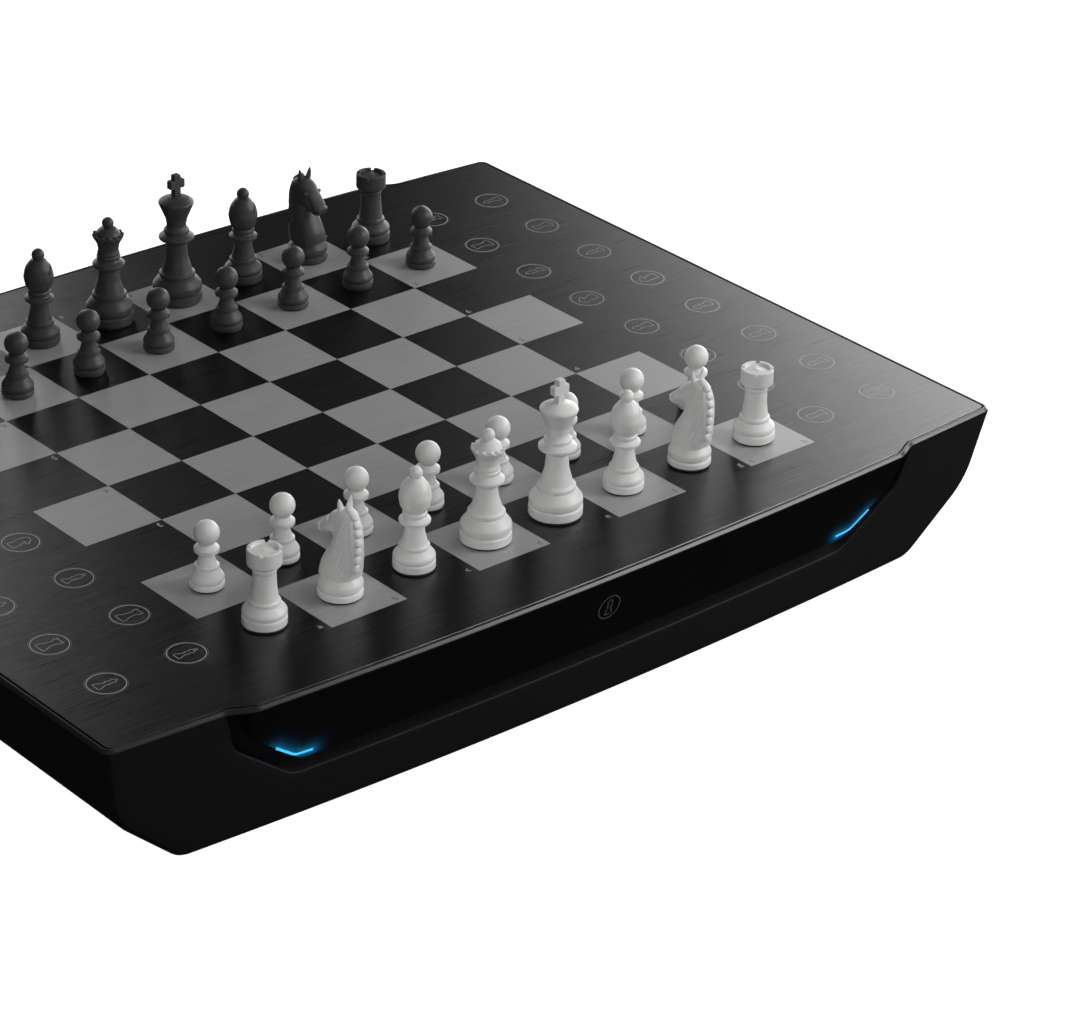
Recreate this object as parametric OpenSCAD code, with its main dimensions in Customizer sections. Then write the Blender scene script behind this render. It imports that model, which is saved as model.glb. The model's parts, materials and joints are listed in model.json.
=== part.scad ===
// Self-moving electronic chess board with its set of 32 pieces.
// Frame: +Z up, +Y from White's side to Black's side, origin on the table under the middle.

/* [Playing board] */
// Side of one square
square = 38; // [36:1:39]
// Height of the plate's top face above the table
plate_top = 68; // [66:1:72]
// Thickness of the metal plate
plate_t = 3; // [2:0.5:3]

/* [Casing] */
// Width of the casing at its top
casing_w = 478; // [474:1:486]
// Distance from the middle of the board to the middle of a long face
face_y = 184; // [182:1:190]
// Radius of the gentle bow of the long faces
face_r = 3125; // [2800:25:4000]
// Lean of the long faces, as run over rise
face_lean = 0.153; // [0.12:0.001:0.16]
// Half width where the side bends under
bend_half = 232.5; // [231:0.5:234]
// Height of that bend
bend_z = 31; // [28:1:33]
// Half width of the flat bottom before rounding
base_half = 200; // [196:1:204]
// Wall of the casing
wall = 2.5; // [2:0.1:2.8]
// Height of the rubber feet
foot_h = 2; // [1.5:0.1:2.5]

/* [Panels] */
// Half width of the pocket at plate height
pocket_half = 186; // [184:1:188]
// Depth of the pocket from the plate's top face
pocket_drop = 43.4; // [40:0.1:44]
// Gap between a panel and its pocket
panel_gap = 7; // [5:0.5:8]
// Depth of the pocket behind the face
pocket_d = 5; // [4:0.5:6]
// How far the plate and panels stand forward of the face
jog = 4.5; // [3:0.1:6]

/* [Gantry] */
// Travel of the bridge to either side
bridge_travel = 209; // [180:1:210]
// Travel of the carriage to either side
carriage_travel = 133; // [110:1:134]
// Distance of each rail from the middle
rail_y = 159.5; // [159:0.1:160]
// Height of the rails
rail_z = 38; // [37:0.5:39]
// Diameter of the rails
rail_d = 6; // [5:0.5:6]
// Diameter of the bridge rods
rod_d = 5; // [4:0.5:5]
// Running clearance on the radius
running = 0.05; // [0.02:0.01:0.1]

/* [Chess pieces] */
// Thickness of the felt pad
felt_t = 0.8; // [0.5:0.1:1]
// Radius of the magnet
magnet_r = 5; // [4:0.5:5]

/* [Hidden] */
FILES = ["a", "b", "c", "d", "e", "f", "g", "h"];
OFFICERS = ["rook", "knight", "bishop", "queen", "king", "bishop", "knight", "rook"];
SIDES = ["white", "black"];
PIECES = [for (side = [0, 1], row = [0, 1], file = [0:7]) [side, row, file]];
function piece_kind(p) = p[1] == 0 ? OFFICERS[p[2]] : "pawn";
function piece_name(p) = str(SIDES[p[0]], "_", piece_kind(p), "_", FILES[p[2]]);

frame_h = 5;                               // height of the top frame's rim
casing_top = plate_top - frame_h;
plate_under = plate_top - plate_t;
rim_t = 2.7;                               // width of the rim around the plate
groove = 0.5;                              // black groove between rim and plate
screw_x = 230;
screw_ys = [-120, 0, 120];
rod_x = 12;
rod_z = 46;
block_half = 16;
block_in = 153;
block_out = 165.5;
belt_r = 6;                                // pulleys of the long belt
belt_y = 144.5;
belt_end = bridge_travel + 5;
belt_z0 = 26.5;
belt_w = 5.5;
belt_t = 0.9;
drive_at = [175, -134];
small_r = 4;                               // pulleys of the bridge's belt
small_y = carriage_travel + 9;
small_z0 = 37;
small_w = 4;
button_at = [-60, 48];                     // place on the rear panel: along X, height
inlet_at = [60, 44];
button_r = 4.5;
button_travel = 1.2;
switch_y = 167.8;                          // back face of the switch's board, which the stem presses
piece_x0 = -3.5 * square;
glue = 0.02;                               // glue line that keeps pad, magnet and body apart

// Geometry helpers -------------------------------------------------------------------

function unit(v) = v / norm(v);
// Points of the arc of radius r that rounds the corner b between a and c.
function corner_arc(a, b, c, r, n = 6) =
    let (u = unit(a - b), w = unit(c - b), half = acos(u * w) / 2,
         centre = b + unit(u + w) * r / sin(half),
         p = b + u * r / tan(half) - centre, q = b + w * r / tan(half) - centre,
         start = atan2(p[1], p[0]), turn = (atan2(q[1], q[0]) - start + 540) % 360 - 180)
    [for (i = [0:n]) centre + r * [cos(start + turn * i / n), sin(start + turn * i / n)]];
// A closed outline with each corner rounded by its own radius.
function rounded(pts, radii) = let (n = len(pts))
    [for (i = [0:n - 1]) each radii[i] == 0 ? [pts[i]]
        : corner_arc(pts[(i + n - 1) % n], pts[i], pts[(i + 1) % n], radii[i])];
function inward(a, b) = unit([a[1] - b[1], b[0] - a[0]]);
// The corners of a convex outline, moved inwards by d.
function inset(pts, d) = let (n = len(pts))
    [for (i = [0:n - 1]) let (m1 = inward(pts[(i + n - 1) % n], pts[i]), m2 = inward(pts[i], pts[(i + 1) % n]))
        pts[i] + d * (m1 + m2) / (1 + m1 * m2)];

// Solids along Y whose section is an outline in X and Z.
module along_y(pts, y0, y1)
    translate([0, y1, 0]) rotate([90, 0, 0]) linear_extrude(y1 - y0) polygon(pts);
// Everything behind the bowed, leaning front face moved back by d.
module behind_front(d, lean = face_lean)
    translate([0, face_r - face_y, 0])
        cylinder(h = plate_top, r1 = face_r - d - lean * plate_top, r2 = face_r - d, $fn = 720);
// Between the front face and the rear face, both moved in by d.
module between_faces(d) intersection() {
    behind_front(d);
    mirror([0, 1, 0]) behind_front(d);
}
// The same for an upright wall, used for the plate and its frame.
module bowed_slab(half_w, half_d, z0, z1) intersection() {
    translate([-half_w, -300, z0]) cube([2 * half_w, 600, z1 - z0]);
    translate([0, face_r - half_d, z0]) cylinder(h = z1 - z0, r = face_r, $fn = 720);
    translate([0, half_d - face_r, z0]) cylinder(h = z1 - z0, r = face_r, $fn = 720);
}

// Section of the casing: flat bottom, slanted lower wall, leaning upper wall.
casing_section = let (top_half = casing_w / 2) [
    [-base_half, foot_h], [base_half, foot_h], [bend_half, bend_z],
    [top_half, plate_top], [-top_half, plate_top], [-bend_half, bend_z]];
// Outline of the pocket in a long face, like the casing's section in small.
pocket_outline = [
    [-150, plate_top - pocket_drop], [150, plate_top - pocket_drop], [179.5, plate_top - 21],
    [pocket_half, plate_top + 2], [-pocket_half, plate_top + 2], [-179.5, plate_top - 21]];

module casing_block(d, bend_round, base_round)
    intersection() {
        along_y(rounded(inset(casing_section, d), [base_round, base_round, bend_round, 0, 0, bend_round]),
                -200, 200);
        between_faces(d);
    }
// Prism of the pocket's outline moved in by d, from the given depth behind the face outwards.
module pocket_prism(d, depth) difference() {
    along_y(rounded(inset(pocket_outline, d), [14, 14, 14, 0, 0, 14]), -200, -100);
    behind_front(depth);
}

// Casing ------------------------------------------------------------------------------

module rail_post(x_side, y_side) scale([x_side, y_side, 1])
    translate([225.5, rail_y - 4.6, 20]) cube([12, 9.2, 24]);
module idler_post(x) translate([x, -belt_y, 0]) {
    translate([0, 0, 10]) cylinder(h = belt_z0 - 10.3, r = 3, $fn = 24);
    translate([0, 0, 10]) cylinder(h = belt_z0 + belt_w - 10, r = 1.5, $fn = 24);
}

module bottom_casing() color([0.09, 0.09, 0.095]) difference() {
    intersection() {
        casing_block(0, 30, 12);
        translate([-300, -300, 0]) cube([600, 600, casing_top]);
        union() {
            difference() {
                translate([-300, -300, 0]) cube([600, 600, plate_top]);
                casing_block(wall, 27.5, 9.5);
            }
            for (s = [0:1]) mirror([0, s, 0]) pocket_prism(-wall, pocket_d + wall);
            for (x = [-1, 1], y = [-1, 1]) rail_post(x, y);
            for (x = [-1, 1]) idler_post(x * belt_end);
            for (x = [-1, 1], y = screw_ys) translate([x * screw_x, y, 18])
                cylinder(h = casing_top - 18, r = 4.4, $fn = 24);
        }
    }
    for (s = [0:1]) mirror([0, s, 0]) pocket_prism(0, pocket_d);
    for (x = [-1, 1], y = [-1, 1]) translate([x * 228, y * rail_y, rail_z]) rotate([0, 90, 0])
        cylinder(h = 6, r = rail_d / 2 + 0.03, center = true, $fn = 32);
    for (x = [-1, 1], y = screw_ys) translate([x * screw_x, y, 0]) {
        translate([0, 0, 10]) cylinder(h = 40, r = 2.6, $fn = 24);
        cylinder(h = 80, r = 1.6, $fn = 24);
    }
    translate([button_at[0], 175, button_at[1]]) rotate([90, 0, 0])
        cylinder(h = 30, r = 1.6, center = true, $fn = 24);
    translate([inlet_at[0] - 4.7, 160, inlet_at[1] - 1.7]) cube([9.4, 30, 3.4]);
}

// Frame round the plate: an upstanding rim, and a ledge that the plate rests on.
module jogged_slab(grow, z0, z1) union() {
    bowed_slab(casing_w / 2 - rim_t + grow, face_y - rim_t + grow, z0, z1);
    bowed_slab(pocket_half - 9 + grow, face_y + jog - rim_t + grow, z0, z1);
}

module top_frame() color([0.12, 0.12, 0.125]) difference() {
    union() {
        jogged_slab(rim_t, plate_under - 1.2, plate_top);
        intersection() {
            bowed_slab(casing_w / 2, face_y, casing_top, plate_top);
            casing_block(0, 30, 12);
        }
    }
    jogged_slab(0, plate_under, plate_top + 1);
    bowed_slab(224.5, 171, casing_top - 1, plate_top);
    for (x = [-1, 1], y = screw_ys) translate([x * screw_x, y, casing_top - 1])
        cylinder(h = 4.2 - 1.4, r = 1.27, $fn = 24);
}

module playing_plate() color([0.35, 0.35, 0.36])
    jogged_slab(-groove, plate_under, plate_top);

module sensor_board() color([0.05, 0.25, 0.12])
    translate([-223, -160, plate_under - 1.7]) cube([446, 320, 1.6]);

// A glossy panel that stands in its pocket with a gap all round, hollow at the back.
module panel_shell(lean, stand_out) difference() {
    intersection() {
        along_y(rounded(inset(pocket_outline, panel_gap), [8, 8, 8, 0, 0, 8]), -200, -100);
        behind_front(-stand_out, lean);
        translate([-300, -300, 0]) cube([600, 600, plate_under - 1.3]);
    }
    behind_front(pocket_d - 0.1);
    intersection() {
        along_y(rounded(inset(pocket_outline, panel_gap + 2.5), [6, 6, 6, 0, 0, 6]), -200, -100);
        behind_front(2.2 - stand_out, lean);
        translate([-300, -300, 0]) cube([600, 600, plate_under - 3.3]);
    }
}
panel_lean = 0.225;
panel_out = 3.6;

// Centre line of one light: a short level stroke that turns up along the panel's edge.
tick = [[143, 35], [152, 35.6], [161.5, 42]];
module tick_outline(half_w, grow) for (i = [0, 1]) let (a = tick[i], b = tick[i + 1], u = unit(b - a))
    translate(a - u * grow) rotate(atan2(u[1], u[0])) translate([0, -half_w])
        square([norm(b - a) + 2 * grow, 2 * half_w]);
module tick_prism(half_w, grow, y0, y1) translate([0, y1, 0]) rotate([90, 0, 0])
    linear_extrude(y1 - y0) tick_outline(half_w, grow);

module front_panel() color([0.03, 0.03, 0.035]) difference() {
    panel_shell(panel_lean, panel_out);
    for (side = [0, 1]) mirror([side, 0, 0]) tick_prism(0.75, 0.35, -195, -170);
}

// Each guide ends flat, just inside the panel's face.
module light_guides() color([0.23, 0.72, 0.95])
    for (side = [0, 1]) mirror([side, 0, 0]) tick_prism(0.7, 0.3, -176.5, -174.2);

module rear_panel() color([0.03, 0.03, 0.035]) difference() {
    mirror([0, 1, 0]) panel_shell(panel_lean, panel_out);
    translate([button_at[0], 180, button_at[1]]) rotate([90, 0, 0])
        cylinder(h = 40, r = button_r + 0.3, center = true, $fn = 40);
    translate([inlet_at[0] - 4.9, 160, inlet_at[1] - 1.9]) cube([9.8, 40, 3.8]);
}

module power_button() color([0.2, 0.2, 0.21]) translate([button_at[0], 0, button_at[1]]) rotate([-90, 0, 0]) {
    translate([0, 0, 180]) cylinder(h = 5.4, r = button_r, $fn = 40);
    stem_end = switch_y + button_travel + 0.2;
    translate([0, 0, stem_end]) cylinder(h = 180.2 - stem_end, r = 1.4, $fn = 24);
}

module charge_inlet() color([0.7, 0.7, 0.72]) translate([inlet_at[0], 0, inlet_at[1]]) difference() {
    translate([-4.6, 166.5, -1.6]) cube([9.2, 16.3, 3.2]);
    translate([-4.2, 172, -1.2]) cube([8.4, 20, 2.4]);
}

module rubber_feet() color([0.05, 0.05, 0.05]) for (x = [-165, 165], y = [-135, 135])
    translate([x, y, 0]) cylinder(h = foot_h, r = 9, $fn = 48);

module casing_screws() color([0.6, 0.6, 0.62]) for (x = [-1, 1], y = screw_ys)
    translate([x * screw_x, y, 0]) {
        translate([0, 0, 48]) cylinder(h = 2, r = 2.45, $fn = 24);
        translate([0, 0, 49]) cylinder(h = casing_top + 1.6 - 49, r = 1.25, $fn = 24);
    }

// Electronics -------------------------------------------------------------------------

module board(at, size) translate(at) cube(size);
module circuit_boards() color([0.05, 0.3, 0.15]) {
    board([-20, -70, 8], [110, 80, 1.6]);
    board([10, -50, 9.6], [18, 18, 2]);
    board([50, -45, 9.6], [12, 12, 1.5]);
    for (x = [-12, 80], y = [-64, 2]) translate([x, y, foot_h + wall])
        cylinder(h = 8 - foot_h - wall, r = 3, $fn = 24);
    for (x = [-139, 139]) board([x - 7, -174.6, 36], [14, 1.2, 10]);
    board([button_at[0] - 8, switch_y - 1.2, button_at[1] - 6], [16, 1.2, 12]);
}

module battery_pack() color([0.2, 0.35, 0.6]) {
    for (i = [0:2]) translate([-150, -30 + i * 19, 14]) rotate([0, 90, 0])
        cylinder(h = 66, r = 9.2, $fn = 40);
    translate([-154, -42, foot_h + wall]) cube([3.8, 64, 18]);
    translate([-83.8, -42, foot_h + wall]) cube([3.8, 64, 18]);
}

// Gantry ------------------------------------------------------------------------------

module x_rails() color([0.75, 0.75, 0.77]) for (y = [-1, 1])
    translate([0, y * rail_y, rail_z]) rotate([0, 90, 0]) cylinder(h = 461, r = rail_d / 2, center = true, $fn = 32);

module bridge_blocks() color([0.25, 0.25, 0.27]) {
    difference() {
        union() {
            for (y = [block_in, -block_out]) translate([-block_half, y, 33])
                cube([2 * block_half, block_out - block_in, 20]);
            translate([-6, -block_in - 0.1, belt_z0]) cube([12, 1.5, 10]);      // belt clamp
            translate([-3.5, -block_in - 0.1, 33]) cube([7, block_in - small_y + 3.6, 3.4]);
            translate([0, -small_y, 34]) cylinder(h = small_z0 + small_w - 34, r = 1.5, $fn = 24);
            translate([-9, small_y - 9, 33.6]) cube([18, block_in - small_y + 9.1, 2.8]);
        }
        for (y = [-1, 1]) translate([0, y * rail_y, rail_z]) rotate([0, 90, 0])
            cylinder(h = 60, r = 4.5, center = true, $fn = 32);
        for (x = [-1, 1]) translate([x * rod_x, 0, rod_z]) rotate([90, 0, 0])
            cylinder(h = 2 * block_out - 5, r = rod_d / 2 + 0.01, center = true, $fn = 32);
        translate([0, small_y, 30]) cylinder(h = 10, r = 3, $fn = 24);
    }
}

module bridge_rods() color([0.75, 0.75, 0.77]) for (x = [-1, 1])
    translate([x * rod_x, 0, rod_z]) rotate([90, 0, 0])
        cylinder(h = 2 * block_out - 6, r = rod_d / 2, center = true, $fn = 32);

module bridge_bushes() color([0.75, 0.6, 0.3]) for (y = [-1, 1], x = [-1, 1])
    translate([x * (block_half - 5), y * rail_y, rail_z]) rotate([0, 90, 0]) difference() {
        cylinder(h = 10, r = 4.5, center = true, $fn = 32);
        cylinder(h = 12, r = rail_d / 2 + running, center = true, $fn = 32);
    }

module carriage() color([0.3, 0.3, 0.32]) difference() {
    union() {
        translate([-15.4, -14, 42.4]) cube([30.8, 28, 8]);
        translate([small_r + belt_t + 0.15, -3, small_z0]) cube([3, 6, 6]);
    }
    for (x = [-1, 1]) translate([x * rod_x, 0, rod_z]) rotate([90, 0, 0])
        cylinder(h = 40, r = rod_d / 2 + running, center = true, $fn = 32);
}

module electromagnet() color([0.6, 0.35, 0.2]) translate([0, 0, 50.4]) {
    difference() {
        cylinder(h = 10.4, r = 10, $fn = 48);
        translate([0, 0, 1.6]) cylinder(h = 20, r = 9, $fn = 48);
    }
    translate([0, 0, 1.6]) cylinder(h = 8.8, r = 4, $fn = 32);
    translate([0, 0, 1.6]) difference() {
        cylinder(h = 7.6, r = 8.8, $fn = 48);
        translate([0, 0, -1]) cylinder(h = 20, r = 4.1, $fn = 32);
    }
}

module stepper(size, h, shaft_r, shaft_h) {
    translate([-size / 2, -size / 2, 0]) cube([size, size, h]);
    cylinder(h = h + shaft_h, r = shaft_r, $fn = 24);
}
module x_motor() color([0.15, 0.15, 0.16]) translate([drive_at[0], drive_at[1], foot_h + wall])
    stepper(35, 17, 2.5, belt_z0 + belt_w - foot_h - wall - 17);
module y_motor() color([0.15, 0.15, 0.16]) translate([0, small_y, 24])
    stepper(17.6, 9.6, 1.5, small_z0 + small_w - 33.6);

// A pulley with a bore, drawn with its teeth left plain.
module pulley(at, r, bore_r, z0, h) translate([at[0], at[1], z0]) difference() {
    cylinder(h = h, r = r, $fn = 40);
    translate([0, 0, -1]) cylinder(h = h + 2, r = bore_r, $fn = 24);
    for (i = [0:2]) rotate(i * 120) translate([r * 0.66, 0, -1])
        cylinder(h = h + 2, r = r * 0.13, $fn = 16);
}
module x_drive_pulley() color([0.8, 0.8, 0.8]) pulley(drive_at, belt_r, 2.5 + running, belt_z0, belt_w);
module x_idler_left() color([0.8, 0.8, 0.8]) pulley([-belt_end, -belt_y], belt_r, 1.5 + running, belt_z0, belt_w);
module x_idler_right() color([0.8, 0.8, 0.8]) pulley([belt_end, -belt_y], belt_r, 1.5 + running, belt_z0, belt_w);
module y_drive_pulley() color([0.8, 0.8, 0.8]) pulley([0, small_y], small_r, 1.5 + running, small_z0, small_w);
module y_idler_pulley() color([0.8, 0.8, 0.8]) pulley([0, -small_y], small_r, 1.5 + running, small_z0, small_w);

// A belt stretched round pulleys at the given places.
module belt(places, r, z0, h, inner = 0.06) translate([0, 0, z0]) linear_extrude(h) difference() {
    hull() for (p = places) translate(p) circle(r = r + belt_t, $fn = 32);
    hull() for (p = places) translate(p) circle(r = r + inner, $fn = 32);
}
module x_belt() color([0.05, 0.05, 0.05])
    belt([[-belt_end, -belt_y], [belt_end, -belt_y], drive_at], belt_r, belt_z0 + 0.5, belt_w - 1);
module y_belt() color([0.05, 0.05, 0.05])
    belt([[0, -small_y], [0, small_y]], small_r, small_z0 + 0.5, small_w - 1);

// Chess pieces --------------------------------------------------------------------------

// Turned outlines, as radius and height above the plate.
function ball(r, z, a0, a1) = [for (i = [0:8]) let (a = a0 + (a1 - a0) * i / 8) [r * cos(a), z + r * sin(a)]];
function foot_turning(r, h) = [[0, felt_t], [r, felt_t], [r, h * 0.55], [r * 0.93, h * 0.6],
    [r * 0.99, h * 0.8], [r * 0.97, h * 1.15]];
function turning(kind) =
    kind == "pawn" ? concat(foot_turning(7.2, 4.5),
        [[5.0, 9.2], [5.0, 10.4], [4.1, 11], [3.2, 14.2], [3.3, 16.3], [5.2, 16.5], [5.2, 18.2], [3.6, 19.5]],
        ball(5.3, 24.6, -50, 90)) :
    kind == "rook" ? concat(foot_turning(9.2, 7),
        [[6.6, 9.8], [6.6, 11.2], [5.6, 14], [4.8, 24], [5, 25], [6.7, 26], [7.1, 27.2], [7.1, 34], [5.2, 34],
         [5.2, 32.8], [0, 33.4]]) :
    kind == "bishop" ? concat(foot_turning(8.9, 6.5),
        [[6.8, 9.4], [6.8, 10.7], [5.4, 13], [4.2, 18.7], [4.3, 21], [7, 21.3], [7, 22.7], [5.3, 24], [5.3, 26],
         [6, 27.5], [6.7, 31.5], [6.2, 35], [4.6, 38.6], [2, 41.4]], ball(2.9, 42.9, -30, 90)) :
    kind == "queen" ? concat(foot_turning(10.9, 7),
        [[7.9, 12.6], [7.9, 14.4], [6.2, 17], [4.4, 25], [4.5, 27.4], [7.4, 27.8], [7.4, 29.4], [5.4, 31],
         [5.2, 33.8], [4.9, 36], [7.2, 41.5], [7.2, 43.2], [5.4, 43.4], [4.8, 45.2], [2.6, 46.6]],
        ball(2.7, 48.4, -40, 90)) :
    kind == "king" ? concat(foot_turning(11.5, 7.5),
        [[8.3, 12.6], [8.3, 14.4], [6.4, 17], [4.7, 27], [4.8, 30.4], [8.2, 30.8], [8.2, 32.4], [5.9, 33.8],
         [5.9, 35.2], [4.4, 37.4], [5.4, 42], [8.2, 49], [6.4, 50.8], [2.6, 51.8], [0, 52]]) :
    concat(foot_turning(9.4, 8), [[8.4, 10.8], [0, 10.8]]);

// Side view of the horse's head, facing along +Y.
horse_outline = rounded([
    [-9.2, 10.4], [-10.4, 22], [-9.2, 36], [-5.4, 43], [-4, 46.4], [-1.4, 43.4], [4, 39.4], [12, 33.6],
    [11.4, 29.4], [8.4, 27.4], [5.2, 27.6], [4.8, 23.8], [9.2, 10.4]],
    [0, 12, 8, 2, 0.6, 1.5, 6, 2, 1.5, 1.5, 1.5, 6, 0]);
module horse_head() rotate([90, 0, 90]) translate([0, 0, -4.8]) linear_extrude(9.6) polygon(horse_outline);

module king_cross() translate([0, -1.6, 0]) {
    translate([-1.7, 0, 51.6]) cube([3.4, 3.2, 10.7]);
    translate([-4.3, 0, 56]) cube([8.6, 3.2, 3.6]);
}
module rook_notches() for (a = [45, 135]) rotate(a)
    translate([-10, -0.6, 32.9]) cube([20, 1.2, 4]);
module bishop_slit() translate([1.4, 0, 37]) rotate([0, 50, 0]) translate([0, -10, -0.6]) cube([12, 20, 1.2]);

// Turned body with a pocket for its magnet. Only the knights have a front, which faces the other side.
module chess_piece(kind, faces_back) rotate(faces_back && kind == "knight" ? 180 : 0) {
    difference() {
        union() {
            rotate_extrude($fn = 48) polygon(turning(kind));
            if (kind == "knight") horse_head();
            if (kind == "king") king_cross();
        }
        translate([0, 0, felt_t - 1]) cylinder(h = 3.2, r = magnet_r + 0.05, $fn = 32);
        if (kind == "rook") rook_notches();
        if (kind == "bishop") bishop_slit();
    }
    translate([0, 0, felt_t + glue]) cylinder(h = 2, r = magnet_r, $fn = 32);
    cylinder(h = felt_t - glue, r = turning(kind)[1][0] - 0.4, $fn = 48);
}
module placed_piece(p) {
    rank = p[0] == 0 ? p[1] : 7 - p[1];
    translate([piece_x0 + p[2] * square, piece_x0 + rank * square, plate_top])
        color(p[0] == 0 ? [0.92, 0.92, 0.91] : [0.2, 0.2, 0.21]) chess_piece(piece_kind(p), p[0] == 1);
}

bottom_casing();
top_frame();
playing_plate();
sensor_board();
front_panel();
rear_panel();
light_guides();
circuit_boards();
battery_pack();
charge_inlet();
power_button();
rubber_feet();
casing_screws();
x_rails();
bridge_blocks();
bridge_rods();
bridge_bushes();
carriage();
electromagnet();
x_motor();
x_drive_pulley();
x_idler_left();
x_idler_right();
x_belt();
y_motor();
y_drive_pulley();
y_idler_pulley();
y_belt();
for (p = PIECES) placed_piece(p);
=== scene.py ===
# %% [markdown]
# # A self-moving electronic chess board
# The board is a wide, shallow casing shaped a little like a boat. A brushed metal plate closes its top, a
# glossy panel with two blue lights stands in a pocket in its long face, and 32 chess pieces stand on it.
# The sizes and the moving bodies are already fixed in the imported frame, so this lesson only makes the
# surfaces that are seen.

# %% Load the fixed frame
import json
import math

import bpy
import numpy as np
from mathutils import Matrix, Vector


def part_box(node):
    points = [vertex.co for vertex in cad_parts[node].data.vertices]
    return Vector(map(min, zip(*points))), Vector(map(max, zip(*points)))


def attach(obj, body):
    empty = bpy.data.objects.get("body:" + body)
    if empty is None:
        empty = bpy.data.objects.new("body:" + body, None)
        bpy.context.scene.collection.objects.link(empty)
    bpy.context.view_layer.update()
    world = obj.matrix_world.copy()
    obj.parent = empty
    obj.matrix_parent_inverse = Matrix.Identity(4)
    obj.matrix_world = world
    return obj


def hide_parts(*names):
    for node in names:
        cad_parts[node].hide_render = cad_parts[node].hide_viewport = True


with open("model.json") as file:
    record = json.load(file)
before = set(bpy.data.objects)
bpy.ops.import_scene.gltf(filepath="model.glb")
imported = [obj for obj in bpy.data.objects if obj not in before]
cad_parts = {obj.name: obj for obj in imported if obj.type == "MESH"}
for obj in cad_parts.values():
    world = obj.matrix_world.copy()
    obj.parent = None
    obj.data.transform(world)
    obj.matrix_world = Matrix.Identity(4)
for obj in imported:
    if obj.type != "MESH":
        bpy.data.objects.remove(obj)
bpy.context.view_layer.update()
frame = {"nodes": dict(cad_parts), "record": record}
MM = 0.001                                  # the frame is in metres; sizes below are in millimetres

# %% [markdown]
# The driving sizes are read from the frame, so the surfaces follow it if it is packed again: the height
# of the plate, the side of a square (from two rooks, seven squares apart) and the outline of the frame
# round the plate.

# %% Sizes
def span(node):
    """Lowest and highest corner of a node, in millimetres."""
    low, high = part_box(node)
    return np.array(low) / MM, np.array(high) / MM


def middle(node):
    low, high = span(node)
    return (low + high) / 2


plate_top = span("playing_plate")[1][2]
square = (middle("white_rook_h")[0] - middle("white_rook_a")[0]) / 7
half_width = span("top_frame")[1][0]
foot_height = span("rubber_feet")[1][2]
plate_thick = 3.0
jog = 4.5                                   # the middle of a long edge stands this far forward
face_mid = span("top_frame")[1][1] - jog    # distance to the middle of a long face
bow_radius = 3125.0
face_lean = 0.153
print("square %.2f  plate top %.2f  half width %.1f  face %.1f" % (square, plate_top, half_width, face_mid))

# %% [markdown]
# ## Making surfaces
# Every new piece is a grid of points P[i, j] worked out as whole arrays. `grid_part` turns such a grid
# into vertices and four-sided faces, closes a pole with a fan of triangles, and turns the faces outwards
# by the sign of the enclosed volume. Several parts can share one object, as a cross and a crown do.

# %% Grid helpers
def signed_volume(points, faces):
    """Six times the volume enclosed by the faces, each split from its first corner."""
    total = 0.0
    for k in range(1, faces.shape[1] - 1):
        a, b, c = points[faces[:, 0]], points[faces[:, k]], points[faces[:, k + 1]]
        total += np.einsum("ij,ij->", a, np.cross(b, c))
    return total


def grid_part(P, closed=True, pole_start=None, pole_end=None):
    """Faces of the grid P[i, j]: quad (i, j), (i, j+1), (i+1, j+1), (i+1, j), with j wrapping when closed."""
    rows, cols = P.shape[:2]
    index = np.arange(rows * cols).reshape(rows, cols)
    right = np.roll(index, -1, axis=1) if closed else index[:, 1:]
    left = index if closed else index[:, :-1]
    quads = np.stack([left[:-1], right[:-1], right[1:], left[1:]], axis=-1).reshape(-1, 4)
    points = P.reshape(-1, 3)
    triangles = np.zeros((0, 3), int)
    for pole, row, turn in ((pole_start, 0, 1), (pole_end, rows - 1, -1)):
        if pole is not None:
            fan = np.stack([np.full(left.shape[1], len(points)), right[row], left[row]], axis=-1)
            triangles = np.vstack([triangles, fan[:, ::turn]])
            points = np.vstack([points, [pole]])
    volume = signed_volume(points, quads) + (signed_volume(points, triangles) if len(triangles) else 0)
    if volume < 0:
        quads, triangles = quads[:, ::-1], triangles[:, ::-1]
    return points, quads.tolist() + triangles.tolist()


def moved(part, offset=(0, 0, 0), turn=0.0, mirror_y=False):
    """A part turned about Z by an angle in degrees, then shifted; mirror_y swaps front and back first."""
    points, faces = part
    points = points * ([1, -1, 1] if mirror_y else [1, 1, 1])
    c, s = math.cos(math.radians(turn)), math.sin(math.radians(turn))
    points = points @ np.array([[c, s, 0], [-s, c, 0], [0, 0, 1]]) + np.array(offset)
    return points, [f[::-1] for f in faces] if mirror_y else faces


def piece(name, parts, material, body, smooth=40, node=None):
    """One Blender object from parts in millimetres, riding on a body and standing for a CAD node."""
    points, faces, start = [], [], 0
    for part_points, part_faces in parts:
        points.append(part_points)
        faces += [[start + k for k in face] for face in part_faces]
        start += len(part_points)
    mesh = bpy.data.meshes.new(name)
    mesh.from_pydata((np.vstack(points) * MM).tolist(), [], faces)
    mesh.materials.append(material)
    mesh.shade_smooth()
    mesh.set_sharp_from_angle(angle=math.radians(smooth))
    made = bpy.data.objects.new(name, mesh)
    bpy.context.scene.collection.objects.link(made)
    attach(made, body)
    if node:
        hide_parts(node)
    return made


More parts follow.
